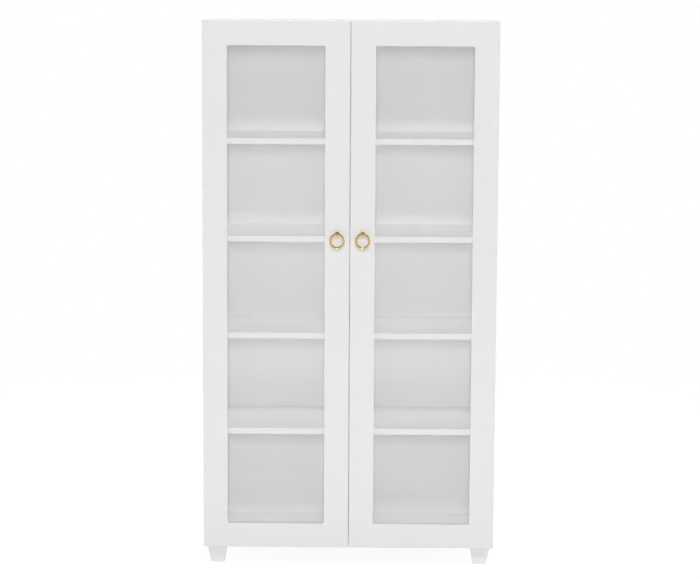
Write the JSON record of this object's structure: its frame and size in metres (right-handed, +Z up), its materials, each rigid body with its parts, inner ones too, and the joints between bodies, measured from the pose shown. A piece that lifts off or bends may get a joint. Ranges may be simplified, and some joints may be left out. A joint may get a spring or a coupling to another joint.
{
  "type": "bookcase with glass doors",
  "caption": "Tall white bookcase on short tapered legs, with framed clear glass doors on concealed hinges, ring pulls and level shelves.",
  "frame": {"origin": "on the floor, under the middle of the whole object's width and depth", "axes": "+Z up, +X to the right of someone facing the doors, the doors face -Y"},
  "size_m": [0.9, 0.4162, 1.686],
  "materials": {
    "white_board": "matt white melamine foil on particle board",
    "back_sheet": "matt white foil on thin fibreboard",
    "door_face": "satin white foil on fibreboard",
    "clear_glass": "clear float glass",
    "bead_plastic": "white extruded profile",
    "bumper_plastic": "soft translucent dots",
    "pull_metal": "polished brass",
    "leg_paint": "satin white paint on solid wood",
    "dowel_wood": "plain beech",
    "zinc": "bright zinc",
    "hinge_steel": "nickel-plated steel"
  },
  "bodies": {
    "cabinet": {"back_panel": "back_sheet", "bottom_panel": "white_board", "cam_bolts": "zinc", "cam_locks": "zinc", "dowels": "dowel_wood", "hinge_arm_left_high": "hinge_steel", "hinge_arm_left_low": "hinge_steel", "hinge_arm_left_middle": "hinge_steel", "hinge_arm_pins_left": "hinge_steel", "hinge_arm_pins_right": "hinge_steel", "hinge_arm_right_high": "hinge_steel", "hinge_arm_right_low": "hinge_steel", "hinge_arm_right_middle": "hinge_steel", "hinge_arm_screws": "hinge_steel", "hinge_plate_screws_left": "hinge_steel", "hinge_plate_screws_right": "hinge_steel", "hinge_plates_left": "hinge_steel", "hinge_plates_right": "hinge_steel", "leg_bolts": "hinge_steel", "leg_front_left": "leg_paint", "leg_front_right": "leg_paint", "leg_rear_left": "leg_paint", "leg_rear_right": "leg_paint", "shelf_1": "white_board", "shelf_2": "white_board", "shelf_3": "white_board", "shelf_4": "white_board", "shelf_supports": "hinge_steel", "side_left": "white_board", "side_right": "white_board", "top_panel": "white_board"},
    "left_outer_links": {"hinge_outer_links_left": "hinge_steel"},
    "left_door": {"door_bumpers_left": "bumper_plastic", "door_frame_left": "door_face", "glass_left": "clear_glass", "glazing_bead_left": "bead_plastic", "hinge_cup_left_high": "hinge_steel", "hinge_cup_left_low": "hinge_steel", "hinge_cup_left_middle": "hinge_steel", "hinge_cup_pins_left": "hinge_steel", "hinge_cup_screws_left": "hinge_steel", "pull_post_left": "pull_metal", "pull_screw_left": "hinge_steel"},
    "left_inner_links": {"hinge_inner_links_left": "hinge_steel"},
    "left_ring": {"pull_ring_left": "pull_metal"},
    "right_outer_links": {"hinge_outer_links_right": "hinge_steel"},
    "right_door": {"door_bumpers_right": "bumper_plastic", "door_frame_right": "door_face", "glass_right": "clear_glass", "glazing_bead_right": "bead_plastic", "hinge_cup_pins_right": "hinge_steel", "hinge_cup_right_high": "hinge_steel", "hinge_cup_right_low": "hinge_steel", "hinge_cup_right_middle": "hinge_steel", "hinge_cup_screws_right": "hinge_steel", "pull_post_right": "pull_metal", "pull_screw_right": "hinge_steel"},
    "right_inner_links": {"hinge_inner_links_right": "hinge_steel"},
    "right_ring": {"pull_ring_right": "pull_metal"}
  },
  "joints": [
    {"name": "left_outer_link_swing", "type": "hinge", "parent": "cabinet", "child": "left_outer_links", "pos_m": [-0.424, -0.16085, 0.873], "axis": [0, 0, 1], "range_deg": [0, 31.66]},
    {"name": "left_door_swing", "type": "hinge", "parent": "left_outer_links", "child": "left_door", "pos_m": [-0.441, -0.17735, 0.873], "axis": [0, 0, -1], "range_deg": [0, 126.6]},
    {"name": "left_inner_link_swing", "type": "hinge", "parent": "cabinet", "child": "left_inner_links", "pos_m": [-0.414, -0.16935, 0.873], "axis": [0, 0, 1], "range_deg": [0, 15.83]},
    {"name": "left_ring_swing", "type": "hinge", "parent": "left_door", "child": "left_ring", "pos_m": [-0.039, -0.20285, 1.0405], "axis": [-1, 0, 0], "range_deg": [-10, 190]},
    {"name": "right_outer_link_swing", "type": "hinge", "parent": "cabinet", "child": "right_outer_links", "pos_m": [0.424, -0.16085, 0.873], "axis": [0, 0, -1], "range_deg": [0, 31.66]},
    {"name": "right_door_swing", "type": "hinge", "parent": "right_outer_links", "child": "right_door", "pos_m": [0.441, -0.17735, 0.873], "axis": [0, 0, 1], "range_deg": [0, 126.6]},
    {"name": "right_inner_link_swing", "type": "hinge", "parent": "cabinet", "child": "right_inner_links", "pos_m": [0.414, -0.16935, 0.873], "axis": [0, 0, -1], "range_deg": [0, 15.83]},
    {"name": "right_ring_swing", "type": "hinge", "parent": "right_door", "child": "right_ring", "pos_m": [0.039, -0.20285, 1.0405], "axis": [-1, 0, 0], "range_deg": [-10, 190]}
  ],
  "couplings": [
    {"joint": "left_outer_link_swing", "follows": "left_door_swing", "ratio": 0.25},
    {"joint": "left_inner_link_swing", "follows": "left_door_swing", "ratio": 0.125},
    {"joint": "right_outer_link_swing", "follows": "right_door_swing", "ratio": 0.25},
    {"joint": "right_inner_link_swing", "follows": "right_door_swing", "ratio": 0.125}
  ]
}
